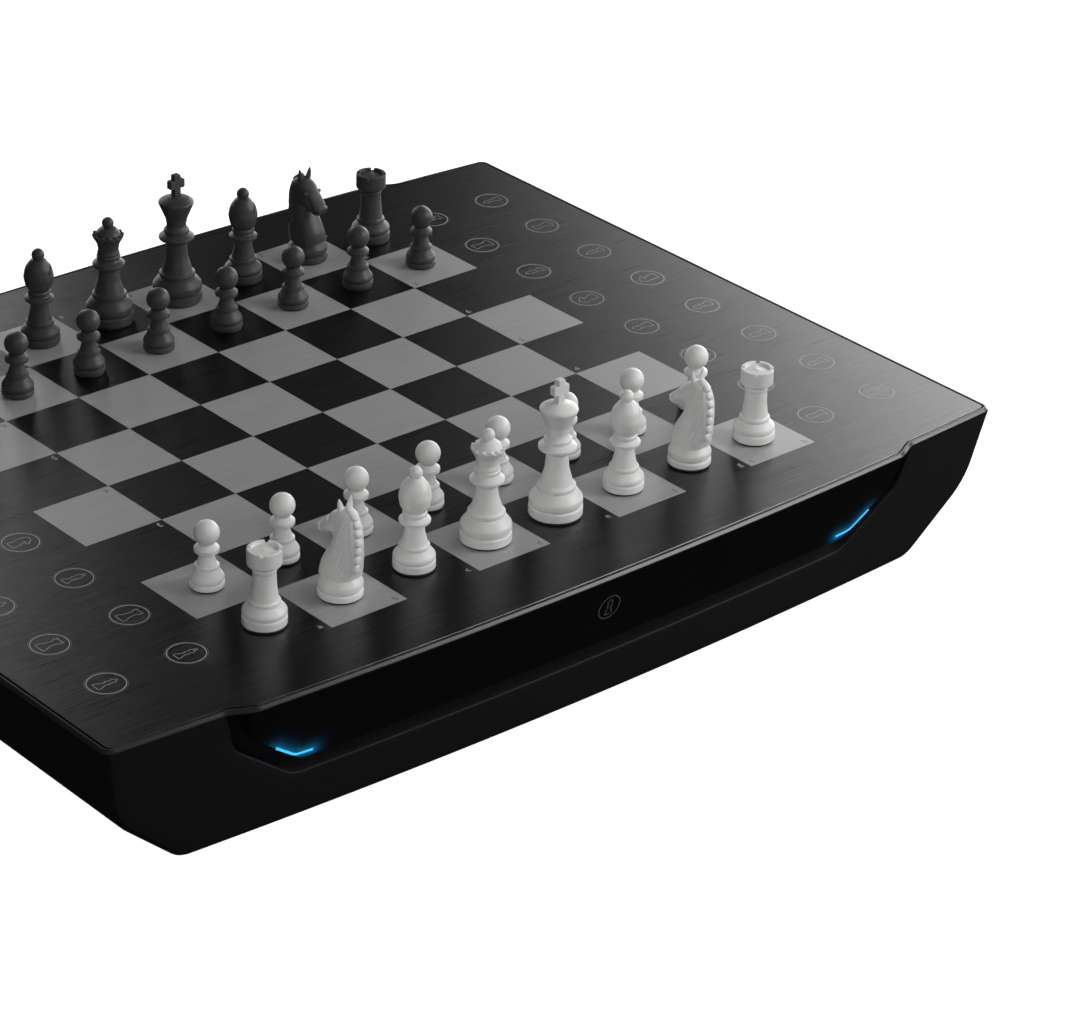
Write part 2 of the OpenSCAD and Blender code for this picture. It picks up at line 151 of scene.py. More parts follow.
def rounded(corners, radii, closed=False, steps=6):
    """An outline whose corner k is replaced by an arc of radius radii[k] that touches both its sides."""
    corners = [np.array(c, float) for c in corners]
    count, out = len(corners), []
    for k in range(count):
        radius = radii[k] if hasattr(radii, "__len__") else radii
        if radius <= 0 or (not closed and k in (0, count - 1)):
            out.append(corners[k][None])
            continue
        here, before, after = corners[k], corners[k - 1], corners[(k + 1) % count]
        u, w = before - here, after - here
        lu, lw = np.linalg.norm(u), np.linalg.norm(w)
        u, w = u / lu, w / lw
        half = math.acos(np.clip(u @ w, -1, 1)) / 2
        if half > math.radians(89):
            out.append(here[None])
            continue
        reach = min(radius / math.tan(half), 0.49 * lu, 0.49 * lw)
        radius = reach * math.tan(half)
        centre = here + (u + w) / np.linalg.norm(u + w) * radius / math.sin(half)
        a = here + u * reach - centre
        b = here + w * reach - centre
        turn = math.atan2(a[0] * b[1] - a[1] * b[0], a @ b)
        t = np.linspace(0, turn, steps + 1)
        out.append(centre + np.cos(t)[:, None] * a + np.sin(t)[:, None] * np.array([-a[1], a[0]]))
    return np.vstack(out)


def evenly(path, count):
    """The path again with this many points, equally spaced along its length."""
    step = np.r_[0, np.cumsum(np.linalg.norm(np.diff(path, axis=0), axis=1))]
    at = np.linspace(0, step[-1], count)
    return np.stack([np.interp(at, step, path[:, k]) for k in range(path.shape[1])], axis=-1)


print("helpers ready")

# %% [markdown]
# ## Materials
# Each finish is a node tree that reads Object coordinates, so its grain lies in the piece at a real
# scale: a noise texture for colour variation and roughness, and a finer one for bump.

# %% Material helper
def finish(name, colour, roughness, metallic=0.0, grain=900.0, stretch=(1, 1, 1), variation=0.12,
           rough_swing=0.08, bump=0.08, specular=0.5, coat=0.0, sheen=0.0, detail=3.0):
    """Principled material: colour and roughness swing with one noise, bump with a finer one."""
    material = bpy.data.materials.new(name)
    material.use_nodes = True
    nodes, links = material.node_tree.nodes, material.node_tree.links
    shader = nodes["Principled BSDF"]
    place = nodes.new("ShaderNodeTexCoord")
    mapping = nodes.new("ShaderNodeMapping")
    mapping.inputs["Scale"].default_value = stretch
    links.new(place.outputs["Object"], mapping.inputs["Vector"])
    noise = nodes.new("ShaderNodeTexNoise")
    noise.inputs["Scale"].default_value = grain
    noise.inputs["Detail"].default_value = detail
    links.new(mapping.outputs["Vector"], noise.inputs["Vector"])
    ramp = nodes.new("ShaderNodeValToRGB")
    low = [max(0.0, c * (1 - variation)) for c in colour]
    high = [min(1.0, c * (1 + variation)) for c in colour]
    ramp.color_ramp.elements[0].position, ramp.color_ramp.elements[1].position = 0.3, 0.7
    ramp.color_ramp.elements[0].color = (*low, 1)
    ramp.color_ramp.elements[1].color = (*high, 1)
    links.new(noise.outputs["Fac"], ramp.inputs["Fac"])
    links.new(ramp.outputs["Color"], shader.inputs["Base Color"])
    swing = nodes.new("ShaderNodeMapRange")
    swing.inputs["To Min"].default_value = max(0.0, roughness - rough_swing)
    swing.inputs["To Max"].default_value = min(1.0, roughness + rough_swing)
    links.new(noise.outputs["Fac"], swing.inputs["Value"])
    links.new(swing.outputs["Result"], shader.inputs["Roughness"])
    if bump:
        fine = nodes.new("ShaderNodeTexNoise")
        fine.inputs["Scale"].default_value = grain * 2.5
        fine.inputs["Detail"].default_value = 2.0
        links.new(mapping.outputs["Vector"], fine.inputs["Vector"])
        relief = nodes.new("ShaderNodeBump")
        relief.inputs["Strength"].default_value = bump
        relief.inputs["Distance"].default_value = 0.0004
        links.new(fine.outputs["Fac"], relief.inputs["Height"])
        links.new(relief.outputs["Normal"], shader.inputs["Normal"])
    shader.inputs["Metallic"].default_value = metallic
    shader.inputs["Specular IOR Level"].default_value = specular
    shader.inputs["Coat Weight"].default_value = coat
    shader.inputs["Sheen Weight"].default_value = sheen
    return material


# %% [markdown]
# The casing is matt black moulded plastic with a spark-eroded grain. The plate is anodised metal brushed
# along its length, so its noise is stretched along X: the scale across the brush marks is some sixty
# times that along them.

# %% The finishes
casing_black = finish("casing_black", (0.0075, 0.0075, 0.0078), 0.62, grain=2600, bump=0.22, specular=0.35)
frame_grey = finish("frame_grey", (0.020, 0.020, 0.021), 0.30, grain=1800, bump=0.05)
plate_dark = finish("plate_dark", (0.095, 0.095, 0.098), 0.30, metallic=1.0, grain=60, stretch=(0.35, 22, 1),
                    variation=0.22, rough_swing=0.07, bump=0.16, detail=7.0)
plate_light = finish("plate_light", (0.43, 0.43, 0.43), 0.34, metallic=0.22, grain=60, stretch=(0.35, 22, 1),
                     variation=0.09, rough_swing=0.06, bump=0.12, detail=7.0)
print_light = finish("print_light", (0.50, 0.50, 0.50), 0.5, grain=1500, bump=0)
print_faint = finish("print_faint", (0.20, 0.20, 0.20), 0.5, grain=1500, bump=0)
print_dark = finish("print_dark", (0.14, 0.14, 0.14), 0.5, grain=1500, bump=0)
panel_gloss = finish("panel_gloss", (0.0035, 0.0035, 0.0037), 0.06, grain=35, rough_swing=0.02, bump=0,
                     specular=0.28)
print_panel = finish("print_panel", (0.10, 0.10, 0.10), 0.4, grain=1500, bump=0)
ivory_white = finish("ivory_white", (0.80, 0.795, 0.785), 0.40, grain=260, variation=0.02, rough_swing=0.05,
                     bump=0.02, specular=0.45)
ebony_black = finish("ebony_black", (0.045, 0.045, 0.046), 0.48, grain=260, variation=0.10, rough_swing=0.06,
                     bump=0.02, specular=0.5)
felt_green = finish("felt_green", (0.012, 0.035, 0.02), 0.95, grain=2200, variation=0.4, bump=0.5, sheen=0.4,
                    specular=0.1)
rubber_black = finish("rubber_black", (0.012, 0.012, 0.012), 0.8, grain=1800, bump=0.2, specular=0.3)
button_black = finish("button_black", (0.03, 0.03, 0.032), 0.4, grain=1500, bump=0.05)
print("materials", len(bpy.data.materials))

# %% [markdown]
# ## The casing
# The casing is one moulding. Its section across the board is a wide U with a slanted lower wall, and both
# long faces are gently bowed and lean outwards. A pocket for the panel is sunk into each long face. One
# closed-form surface covers it: u runs along the U from the left rim to the right rim, and v runs from
# the middle of the front pocket, over its lip and the face, round the edge, along the side, and into the
# rear pocket in the same way.

# %% U-shaped outlines
frame_low = plate_top - 1.7                 # lower edge of the frame's bevel, where the casing begins
casing_u = [(-238.75, frame_low), (-232.5, 31), (-200, foot_height), (200, foot_height), (232.5, 31),
            (238.75, frame_low)]
pocket_u = [(-185.5, frame_low), (-179.5, 47), (-150, 24.6), (150, 24.6), (179.5, 47), (185.5, frame_low)]


def inset_u(corners, distance):
    """Corners of an open U moved inwards: each along its mitre, the two ends sideways so their height
    stays."""
    c = np.array(corners, float)
    direction = np.diff(c, axis=0)
    direction /= np.linalg.norm(direction, axis=1)[:, None]
    inward = np.stack([-direction[:, 1], direction[:, 0]], axis=-1)
    out = c.copy()
    mitre = inward[:-1] + inward[1:]
    out[1:-1] += distance * mitre / (1 + (inward[:-1] * inward[1:]).sum(axis=1))[:, None]
    out[0, 0] += distance / inward[0, 0]
    out[-1, 0] += distance / inward[-1, 0]
    return out


def u_outline(corners, radii, runs=(6, 6, 60, 6, 6), steps=10):
    """The U with rounded corners: straight runs cut into equal steps, so that every inset has the same
    count."""
    arcs = rounded(corners, [0] + list(radii) + [0], steps=steps)
    bounds = [0] + [1 + k * (steps + 1) for k in range(len(corners) - 2)] + [len(arcs) - 1]
    out = []
    for k, cuts in enumerate(runs):
        start = arcs[bounds[k] + (steps if k else 0)]
        end = arcs[bounds[k + 1]]
        t = np.arange(1 if k else 0, cuts)[:, None] / cuts
        out.append(start + (end - start) * t)
        if k < len(runs) - 1:
            out.append(arcs[bounds[k + 1]:bounds[k + 1] + steps + 1])
    out.append(arcs[-1:])
    return np.vstack(out)


def face_depth(xz, lean=face_lean, out=0.0):
    """Distance of the long face from the middle: less the bow x squared over twice the radius, less the
    lean."""
    return face_mid + out - xz[..., 0] ** 2 / (2 * bow_radius) - lean * (plate_top - xz[..., 1])


def row_at(xz, depth):
    return np.stack([xz[:, 0], -depth, xz[:, 1]], axis=-1)


print("points along the U", len(u_outline(casing_u, (30, 12, 12, 30))))

# %% Casing surface
pocket_depth = 5.0
edge_round = 2.5


def casing_surface():
    """Rows from the front pocket's floor to the front's outer edge, then the same rows of the back in
    reverse."""
    lip = u_outline(pocket_u, (14, 14, 14, 14))
    roof = np.stack([lip[:, 0], np.full(len(lip), frame_low)], axis=-1)
    rows = [row_at(roof + (lip - roof) * k, face_depth(roof + (lip - roof) * k) - pocket_depth)
            for k in (0, 0.5, 0.97)]
    rows.append(row_at(lip, face_depth(lip) - pocket_depth))
    for angle in np.radians([0, 30, 60, 90]):
        grown = u_outline(inset_u(pocket_u, -0.8 * (1 - math.cos(angle))), (14, 14, 14, 14))
        rows.append(row_at(grown, face_depth(grown) - 0.8 * (1 - math.sin(angle))))
    first = u_outline(inset_u(pocket_u, -0.8), (14, 14, 14, 14))
    last = u_outline(inset_u(casing_u, edge_round), (28, 10, 10, 28))
    for k in np.linspace(0, 1, 9)[1:]:
        between = first + (last - first) * k
        rows.append(row_at(between, face_depth(between)))
    for angle in np.radians([22, 45, 67, 90]):
        inset = edge_round * (1 - math.sin(angle))
        rim = u_outline(inset_u(casing_u, inset), (30 - inset, 12 - inset, 12 - inset, 30 - inset))
        rows.append(row_at(rim, face_depth(rim) - edge_round * (1 - math.cos(angle))))
    front = np.stack(rows)
    back = front[::-1] * [1, -1, 1]
    middle_rows = [front[-1] + (back[0] - front[-1]) * k for k in (0.25, 0.5, 0.75)]
    return np.concatenate([front, np.stack(middle_rows), back])


casing = piece("casing_shell", [grid_part(casing_surface(), closed=False)], casing_black, "board",
               smooth=35, node="bottom_casing")
print("casing", len(casing.data.polygons), "faces")

# %% [markdown]
# ## The frame round the plate
# A thin bevelled frame holds the plate. Seen from above its long edges are bowed like the faces, and
# their middle part steps forward by a few millimetres over the panel in a short S-curve. The outline is
# written for one quarter and mirrored, and the frame's section (inner wall, flat top, bevel, outer edge)
# is carried along it by moving the outline inwards by the width each point of the section asks for.

# %% Plan outline
jog_from, jog_to = 173.0, 187.0


def long_edge(x):
    """Half depth at x: the bow, and a smoothstep from the jogged middle down to the plain face."""
    t = np.clip((jog_to - np.abs(x)) / (jog_to - jog_from), 0, 1)
    return face_mid - x ** 2 / (2 * bow_radius) + jog * t * t * (3 - 2 * t)


def plan_outline(corner=4.5):
    """Closed outline seen from above, anticlockwise: front edge, a rounded corner, side, and so on."""
    x = np.concatenate([np.linspace(0, jog_from - 1, 60)[:-1], np.linspace(jog_from - 1, jog_to + 1, 25)[:-1],
                        np.linspace(jog_to + 1, half_width - corner, 20)])
    front = np.stack([x, -long_edge(x)], axis=-1)
    t = np.radians(np.linspace(0, 90, 10))[1:]
    low = front[-1, 1]
    arc = np.stack([half_width - corner + corner * np.sin(t), low + corner * (1 - np.cos(t))], axis=-1)
    side = np.stack([np.full(20, half_width), np.linspace(arc[-1, 1], 0, 21)[1:]], axis=-1)
    quarter = np.vstack([front, arc, side])
    right = np.vstack([quarter, quarter[-2::-1] * [1, -1]])
    return np.vstack([right, right[-2:0:-1] * [-1, 1]])


def moved_in(outline, distance):
    """Each point of a closed outline moved inwards along the mean normal of its two sides."""
    after = np.roll(outline, -1, axis=0) - outline
    before = outline - np.roll(outline, 1, axis=0)
    tangent = after / np.linalg.norm(after, axis=1)[:, None]
    tangent = tangent + before / np.linalg.norm(before, axis=1)[:, None]
    tangent /= np.linalg.norm(tangent, axis=1)[:, None]
    return outline + distance * np.stack([-tangent[:, 1], tangent[:, 0]], axis=-1)


def layers(outline, section):
    """Rows of the outline, moved in by the first number of each point of the section and put at its
    height."""
    return np.stack([np.c_[moved_in(outline, inset), np.full(len(outline), z)] for inset, z in section])


plan = plan_outline()
print("outline points", len(plan), "reaches", plan.max(axis=0).round(2))

# %% Frame surface
rim_width = 1.9
groove = 0.7


def frame_surface():
    """The frame's section as a closed loop of (inset, height), carried round the plan outline."""
    top = plate_top
    section = rounded([(0.0, frame_low), (0.0, frame_low + 0.5), (1.0, top), (rim_width, top),
                       (rim_width, top - plate_thick), (rim_width - 1.2, frame_low)],
                      [0, 0.2, 0.3, 0.15, 0, 0], closed=True, steps=4)
    return layers(plan, np.vstack([section, section[:1]]))


rim = piece("frame_rim", [grid_part(frame_surface())], frame_grey, "board", smooth=30,
            node="top_frame")
print("rim", len(rim.data.polygons), "faces")

# %% [markdown]
# ## The playing plate
# The plate is one sheet of metal with a tiny chamfer, set into the frame with a dark groove all round.
# The light squares are a print of hardly any thickness, brushed in the same direction, so each is a thin
# tile of its own that stands a few hundredths of a millimetre proud.

# %% Plate and light squares
def plate_surface():
    """Rows out from the middle, over the chamfer and down the side; both middles are closed by poles."""
    edge = rim_width + groove
    top = [np.c_[moved_in(plan, edge + 0.2) * k, np.full(len(plan), plate_top)] for k in (0.3, 0.6, 0.9)]
    side = layers(plan, [(edge + 0.2, plate_top), (edge, plate_top - 0.2), (edge, plate_top - plate_thick)])
    return np.concatenate([np.stack(top), side])


piece("plate_sheet",
      [grid_part(plate_surface(), pole_start=(0, 0, plate_top), pole_end=(0, 0, plate_top - plate_thick))],
      plate_dark, "board", smooth=30, node="playing_plate")


def tile(x, y, half, thick=0.03):
    """A square tile as four rows of four corners: edge under, edge over, chamfered top, closed by poles."""
    corner = np.array([(-1, -1), (1, -1), (1, 1), (-1, 1)])
    rows = [(half, plate_top - 0.05), (half, plate_top + thick - 0.01), (half - 0.02, plate_top + thick)]
    P = np.stack([np.c_[corner * h + (x, y), np.full(4, z)] for h, z in rows])
    return grid_part(P, pole_start=(x, y, plate_top - 0.05), pole_end=(x, y, plate_top + thick))


def square_middle(file, rank):
    return (file - 3.5) * square, (rank - 3.5) * square


light_tiles = [tile(*square_middle(f, r), square / 2) for f in range(8) for r in range(8) if (f + r) % 2]
piece("light_squares", light_tiles, plate_light, "board", smooth=20)
print("light squares", len(light_tiles))

# %% [markdown]
# ## The glossy panels
# A panel is a slab with the pocket's outline in small, standing slightly proud of the face. Each station
# of the U carries a closed loop: down the front from the top edge, round the edge, and up the back. The
# front panel has a lamp's glow baked into an attribute, the distance to the light's centre line, because
# the soft halo that shows through the gloss follows that line.

# %% Panels
panel_gap = 7.0
panel_top = frame_low - 0.2
panel_lean = 0.225
panel_out = 3.6


def panel_depth(xz):
    return face_depth(xz, panel_lean, panel_out)


def panel_surface():
    """Loops over u: roof line to the outline on the face, quarter-round edge, side, and back to the roof."""
    shell = inset_u(pocket_u, panel_gap)
    shell[[0, -1], 1] = panel_top
    outline = u_outline(shell, (8, 8, 8, 8), runs=(8, 8, 150, 8, 8))
    face = u_outline(inset_u(shell, 1.2), (7, 7, 7, 7), runs=(8, 8, 150, 8, 8))
    face[:, 1] = np.minimum(face[:, 1], panel_top)
    roof = np.stack([face[:, 0], np.full(len(face), panel_top)], axis=-1)
    loop = [row_at(roof + (face - roof) * k, panel_depth(roof + (face - roof) * k))
            for k in np.linspace(0, 1, 18)]
    for angle in np.radians([25, 50, 70, 90]):
        row = face + (outline - face) * math.sin(angle)
        loop.append(row_at(row, panel_depth(row) - 1.2 * (1 - math.cos(angle))))
    loop.append(row_at(outline, face_depth(outline) - pocket_depth + 0.1))
    loop.append(row_at(roof, face_depth(roof) - pocket_depth + 0.1))
    return np.stack(loop, axis=1)


light_line = rounded([(143, 35), (151.5, 35.4), (161.5, 42.6)], 7)


def distance_to_path(points, path):
    """Shortest distance from each point to a run of straight pieces."""
    best = np.full(len(points), np.inf)
    for a, b in zip(path[:-1], path[1:]):
        t = np.clip((points - a) @ (b - a) / ((b - a) @ (b - a)), 0, 1)
        best = np.minimum(best, np.linalg.norm(points - (a + t[:, None] * (b - a)), axis=1))
    return best


def add_glow(made):
    """Glow falls off with distance from the light: the exponential of minus distance over its reach."""
    points = np.empty(len(made.data.vertices) * 3)
    made.data.vertices.foreach_get("co", points)
    points = points.reshape(-1, 3) / MM
    away = distance_to_path(np.stack([np.abs(points[:, 0]), points[:, 2]], axis=-1), light_line)
    glow = made.data.attributes.new("glow", "FLOAT", "POINT")
    glow.data.foreach_set("value", np.exp(-away / 1.6).astype(np.float32))


def glow_finish(material, colour, strength):
    nodes, links = material.node_tree.nodes, material.node_tree.links
    attribute = nodes.new("ShaderNodeAttribute")
    attribute.attribute_name = "glow"
    ramp = nodes.new("ShaderNodeValToRGB")
    ramp.color_ramp.elements[0].color = (0, 0, 0, 1)
    ramp.color_ramp.elements[1].color = (*colour, 1)
    links.new(attribute.outputs["Fac"], ramp.inputs["Fac"])
    links.new(ramp.outputs["Color"], nodes["Principled BSDF"].inputs["Emission Color"])
    nodes["Principled BSDF"].inputs["Emission Strength"].default_value = strength


panel_lit = finish("panel_lit", (0.0035, 0.0035, 0.0037), 0.06, grain=35, rough_swing=0.02, bump=0,
                   specular=0.28)
glow_finish(panel_lit, (0.01, 0.20, 0.42), 0.8)
panel = grid_part(panel_surface())
front = piece("panel_front", [panel], panel_lit, "board", smooth=50, node="front_panel")
add_glow(front)
piece("panel_rear", [moved(panel, mirror_y=True)], panel_gloss, "board", smooth=50, node="rear_panel")
print("panel", len(front.data.polygons), "faces")

# %% [markdown]
# ## Flat marks
# Rings, outlines and the two lights are narrow bands. A band is a small rectangular section carried along
# a line that lies on a surface; the line's own sideways direction gives its width.

# %% Bands
def band(path, width, thick, closed=False):
    """A flat band of this width along a line in its own plane: four-cornered loops, capped at open ends."""
    if closed:
        along = np.roll(path, -1, axis=0) - np.roll(path, 1, axis=0)
    else:
        along = np.gradient(path, axis=0)
    along /= np.linalg.norm(along, axis=1)[:, None]
    side = np.stack([-along[:, 1], along[:, 0]], axis=-1) * width / 2
    corners = [np.c_[path + side, np.zeros(len(path))], np.c_[path + side, np.full(len(path), thick)],
               np.c_[path - side, np.full(len(path), thick)], np.c_[path - side, np.zeros(len(path))]]
    P = np.stack(corners, axis=1)
    if closed:
        return grid_part(np.concatenate([P, P[:1]]))
    return grid_part(P, pole_start=P[0].mean(axis=0), pole_end=P[-1].mean(axis=0))


mark_lift = 0.02                            # flat marks stand this far off the glossy face


def on_panel(part, mirror_x=False):
    """A flat part drawn in X and height, laid on the front panel's face: its own third axis points
    outwards."""
    points, faces = part
    xz = points[:, :2] * ([-1, 1] if mirror_x else [1, 1])
    placed = np.stack([xz[:, 0], -(panel_depth(xz) + points[:, 2] + mark_lift), xz[:, 1]], axis=-1)
    return placed, [f[::-1] for f in faces] if mirror_x else faces


light_blue = finish("light_blue", (0.05, 0.45, 0.85), 0.3, grain=500, bump=0)
light_blue.node_tree.nodes["Principled BSDF"].inputs["Emission Color"].default_value = (0.05, 0.50, 0.90, 1)
light_blue.node_tree.nodes["Principled BSDF"].inputs["Emission Strength"].default_value = 1.0
tick = evenly(light_line, 40)
piece("status_lights", [on_panel(band(tick, 1.1, 0.05), mirror_x=m) for m in (False, True)],
      light_blue, "board", node="light_guides")


def circle(radius, count=64):
    t = np.arange(count) * 2 * math.pi / count
    return np.stack([radius * np.cos(t), radius * np.sin(t)], axis=-1)


print("light line %.1f mm long" % np.linalg.norm(np.diff(tick, axis=0), axis=1).sum())

# %% [markdown]
# ## Turned chess pieces
# Five of the six kinds are turned on a lathe, so each is a profile of radius against height that is spun
# round Z. A profile is written as corners (radius, height, rounding) and `rounded` turns them into a
# smooth moulding. The rook's battlements, the bishop's slit and the queen's crown are made by moving
# points of the spun grid.

# %% Profiles
def foot(radius, disc, bulge_top):
    """The foot that all kinds share: a flat disc, a fine groove, and a full round moulding."""
    rise = bulge_top - disc
    return [(radius - 0.3, 0.8, 0), (radius, 1.1, 0.2), (radius, disc - 0.2, 0.35),
            (radius - 0.9, disc + 0.1, 0.1), (radius - 0.9, disc + 0.35, 0.1),
            (radius - 0.1, disc + rise * 0.22, 0.8),
            (radius - 0.1, disc + rise * 0.55, 2.2), (radius * 0.78, bulge_top, 1.6)]


PROFILES = {
    "pawn": foot(7.2, 2.9, 7.4) + [
        (4.7, 9.0, 0.1), (5.1, 9.3, 0.2), (5.1, 10.3, 0.3), (4.1, 10.8, 0.2), (3.1, 14.2, 5),
        (3.1, 16.1, 0.2), (5.2, 16.4, 0.2), (5.2, 18.1, 0.5), (3.2, 19.5, 0.4), (3.2, 20.2, 0)],
    "rook": foot(9.2, 4.4, 9.0) + [
        (6.2, 9.7, 0.1), (6.6, 9.9, 0.2), (6.6, 11.0, 0.4), (5.7, 11.9, 0.8), (5.0, 17.5, 12),
        (4.7, 23.6, 3), (5.0, 24.2, 0.2), (5.0, 25.3, 0.2), (4.8, 25.6, 0.1), (6.9, 27.0, 0.4),
        (7.1, 27.6, 0.5), (7.1, 32.5, 0), (7.1, 33.7, 0.2), (6.8, 34.0, 0.2), (5.6, 34.0, 0.2),
        (5.4, 33.7, 0.1), (5.4, 32.6, 0.1), (3.5, 33.0, 4), (0.05, 33.3, 0)],
    "bishop": foot(8.9, 4.0, 8.6) + [
        (6.0, 9.4, 0.1), (6.4, 9.7, 0.2), (6.4, 10.8, 0.4), (5.5, 11.6, 0.8), (4.3, 16.5, 8),
        (3.9, 20.4, 0.8), (6.5, 21.2, 0.2), (6.6, 22.4, 0.4), (5.0, 23.4, 0.4), (4.7, 23.9, 0.1),
        (5.1, 24.4, 0.3), (5.1, 25.4, 0.3), (4.7, 25.9, 0.1), (4.7, 26.4, 0.2), (6.0, 28.3, 3),
        (6.9, 32.4, 6), (6.0, 37.0, 6), (3.4, 40.6, 3), (1.6, 41.4, 0)],
    "queen": foot(10.9, 4.6, 11.6) + [
        (7.5, 12.4, 0.2), (7.9, 12.7, 0.3), (7.9, 14.0, 0.5), (6.8, 14.9, 1.0), (5.0, 20.5, 12),
        (4.2, 26.6, 2), (7.3, 27.6, 0.4), (7.4, 28.9, 0.6), (5.4, 30.4, 0.8), (5.0, 31.2, 0.2),
        (5.4, 31.7, 0.4), (5.4, 32.7, 0.4), (4.9, 33.2, 0.2), (5.1, 33.9, 0.3), (4.6, 35.6, 1.0),
        (5.1, 38.5, 4), (7.2, 42.4, 0.6), (7.2, 43.3, 0.2), (5.8, 43.1, 0.3), (5.1, 44.4, 0.8),
        (3.6, 45.8, 1.5), (1.6, 46.2, 0.4), (1.5, 46.6, 0)],
    "king": foot(11.5, 4.7, 11.6) + [
        (7.9, 12.4, 0.2), (8.3, 12.7, 0.3), (8.3, 14.0, 0.5), (7.1, 15.0, 1.0), (5.2, 21.5, 14),
        (4.5, 29.4, 2), (8.1, 30.9, 0.4), (8.2, 32.2, 0.6), (5.9, 33.6, 0.6), (5.4, 34.0, 0.2),
        (5.9, 34.4, 0.3), (5.9, 35.4, 0.4), (5.0, 36.2, 0.5), (4.4, 37.6, 1.2), (5.0, 41.0, 5),
        (8.2, 48.6, 0.5), (7.9, 49.5, 0.5), (6.0, 50.6, 3), (2.4, 51.8, 1.0), (0.05, 52.0, 0)],
    "knight": foot(9.4, 3.4, 9.8) + [
        (6.8, 10.6, 0.4), (0.05, 10.8, 0)],
}
FINIALS = {"pawn": (5.3, 24.6), "bishop": (2.9, 42.9), "queen": (2.7, 48.3)}


def ball(radius, height, rows=24):
    """The part of a sphere above its neck, as profile points from just under the middle to the crown."""
    t = np.radians(np.linspace(-62, 89, rows))
    return np.stack([radius * np.cos(t), height + radius * np.sin(t)], axis=-1)


def profile_of(kind):
    corners = np.array([c[:2] for c in PROFILES[kind]])
    outline = rounded(corners, [c[2] for c in PROFILES[kind]], steps=5)
    if kind in FINIALS:
        outline = np.vstack([outline, ball(*FINIALS[kind])])
    return outline


def spun(outline, count=96):
    """Radius and height spun round Z: x is r cos a, y is r sin a."""
    a = np.arange(count) * 2 * math.pi / count
    r, z = outline[:, :1], outline[:, 1:]
    return np.stack([r * np.cos(a), r * np.sin(a), z + 0 * a], axis=-1)


print({kind: len(profile_of(kind)) for kind in PROFILES})

# %% Details of the turned kinds
def denser(outline, longest=0.45):
    """The same outline with long steps cut so that none is longer than this."""
    out = []
    for a, b in zip(outline[:-1], outline[1:]):
        cuts = max(1, int(np.ceil(np.linalg.norm(b - a) / longest)))
        out.append(a + (b - a) * (np.arange(cuts)[:, None] / cuts))
    return np.vstack(out + [outline[-1:]])


def rook_body():
    """Four notches: points of the battlements near 45, 135, 225 and 315 degrees drop to the notch's floor."""
    P = spun(profile_of("rook"), 192)
    a = np.arctan2(P[..., 1], P[..., 0])
    r = np.hypot(P[..., 0], P[..., 1])
    across = np.abs((np.degrees(a) % 90) - 45) * np.pi / 180 * 6.2
    cut = (across < 0.75) & (P[..., 2] > 32.6) & (r > 5.3)
    P[..., 2] = np.where(cut, 32.6, P[..., 2])
    return P


def bishop_body():
    """The slit is a slanted plane: points near it, on the upper right of the mitre, sink towards the axis."""
    P = spun(denser(profile_of("bishop"), 0.28), 144)
    off = (P[..., 0] - 2.6) * math.sin(math.radians(52)) - (P[..., 2] - 36.2) * math.cos(math.radians(52))
    shown = (P[..., 2] > 30) & (P[..., 2] < 41.2) & (P[..., 0] > 1.6)
    depth = np.where(shown, 0.30 * np.exp(-(off / 0.42) ** 4), 0)
    P[..., :2] *= (1 - depth)[..., None]
    return P


def queen_body():
    """The crown's lip is scalloped: it rises and falls with the cosine of twelve times the angle."""
    P = spun(denser(profile_of("queen")), 144)
    a = np.arctan2(P[..., 1], P[..., 0])
    r = np.hypot(P[..., 0], P[..., 1])
    lip = np.clip((P[..., 2] - 40.2) / 2.6, 0, 1) * (P[..., 2] < 43.6) * (r > 5.3)
    wave = 0.5 - 0.5 * np.cos(12 * a)
    P[..., 2] -= 0.7 * lip * wave ** 1.5
    P[..., :2] *= (1 - 0.03 * lip * wave)[..., None]
    return P


def block(centre, half, sharp=0.22, rows=24, count=48):
    """A rounded block: a ball whose sines and cosines are raised to a small power, stretched to its size."""
    u = np.linspace(-math.pi / 2, math.pi / 2, rows + 2)[1:-1, None]
    v = np.arange(count) * 2 * math.pi / count

    def power(x):
        return np.sign(x) * np.abs(x) ** sharp
    P = np.stack([half[0] * power(np.cos(u)) * power(np.cos(v)),
                  half[1] * power(np.cos(u)) * power(np.sin(v)),
                  half[2] * power(np.sin(u)) + 0 * v], axis=-1) + np.array(centre)
    low, high = np.array(centre) - (0, 0, half[2]), np.array(centre) + (0, 0, half[2])
    return grid_part(P, pole_start=low, pole_end=high)


def king_parts():
    body = spun(profile_of("king"))
    return [grid_part(body, pole_start=(0, 0, 0.8), pole_end=(0, 0, 52)),
            block((0, 0, 57.0), (1.7, 1.6, 5.3), 0.14), block((0, 0, 57.7), (4.0, 1.59, 2.0), 0.14)]


print("blocks and crowns ready")

# %% [markdown]
# ## The knight
# A knight can't be turned. Its head and neck are a loft along a bent line: each station lies between a
# point of the crest and a point of the throat, and its section is a rounded oval as thick as that station
# asks for. Eyes, nostrils, the mouth and the mane's grooves are then pressed into the sides as soft
# valleys in the side view.

